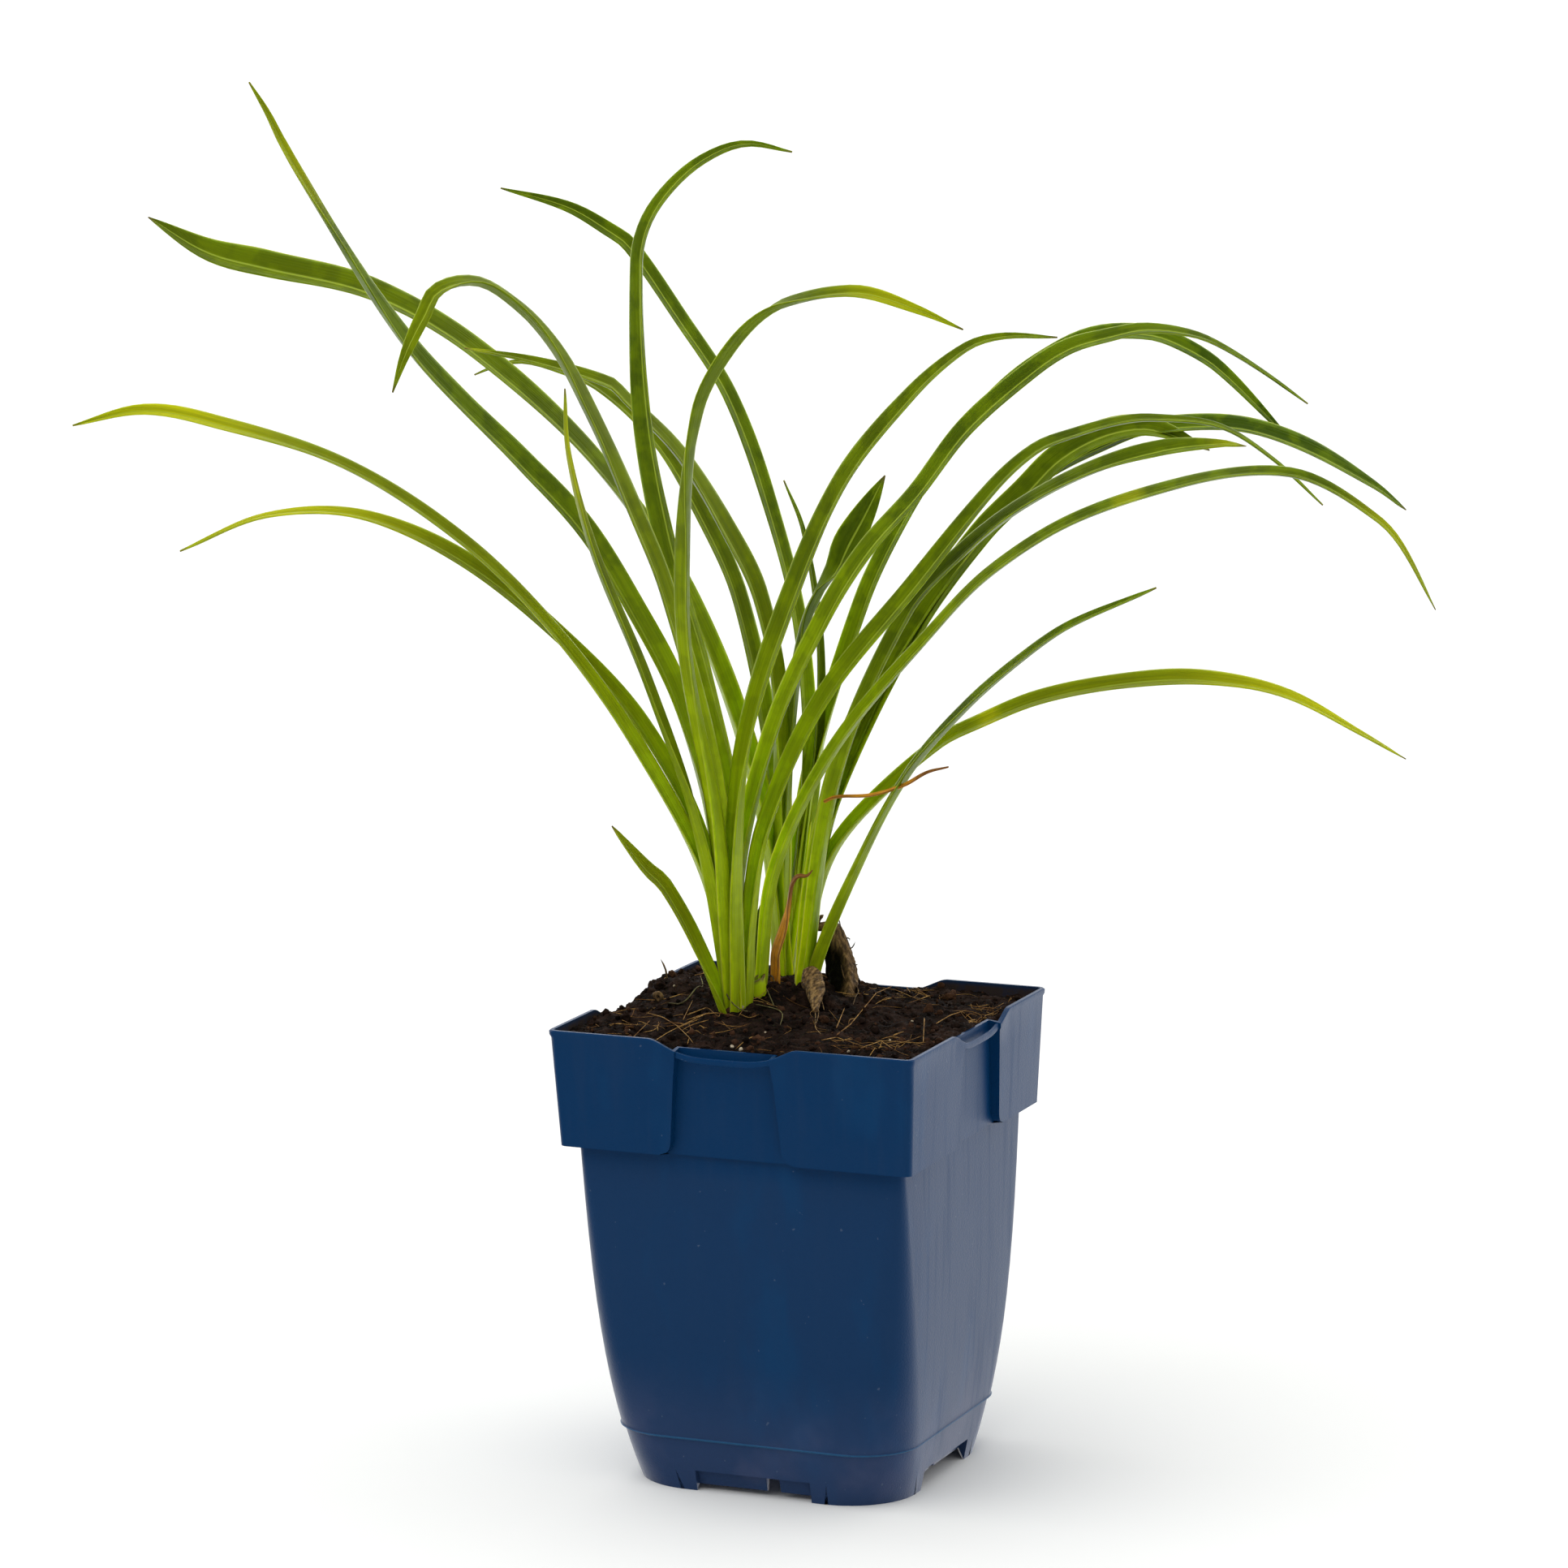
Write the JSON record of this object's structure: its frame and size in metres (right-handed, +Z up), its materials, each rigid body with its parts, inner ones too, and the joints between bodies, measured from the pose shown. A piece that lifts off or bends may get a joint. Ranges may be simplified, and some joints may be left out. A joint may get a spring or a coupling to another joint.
{
  "type": "potted daylily",
  "caption": "Clump of long arching strap leaves rooted in dark soil in a square, tapering blue nursery pot with a deep lobed collar; stands on its own feet.",
  "frame": {"origin": "on the floor under the middle of the pot's collar, at the height of the pot's feet", "axes": "+Z up, +X along the pot's front side to the right, +Y from the front side to the back"},
  "size_m": [0.4236, 0.2626, 0.4773],
  "materials": {
    "pot_plastic": "satin",
    "soil": "matte",
    "leaf": "satin",
    "dried_leaf": "matte",
    "old_root": "matte"
  },
  "bodies": {
    "root": {"pot": "pot_plastic", "soil": "soil", "fan_left": "leaf", "fan_middle": "leaf", "fan_right": "leaf", "fan_back": "leaf", "dried_leaf": "dried_leaf", "old_root_large": "old_root", "old_root_small": "old_root"}
  },
  "joints": []
}
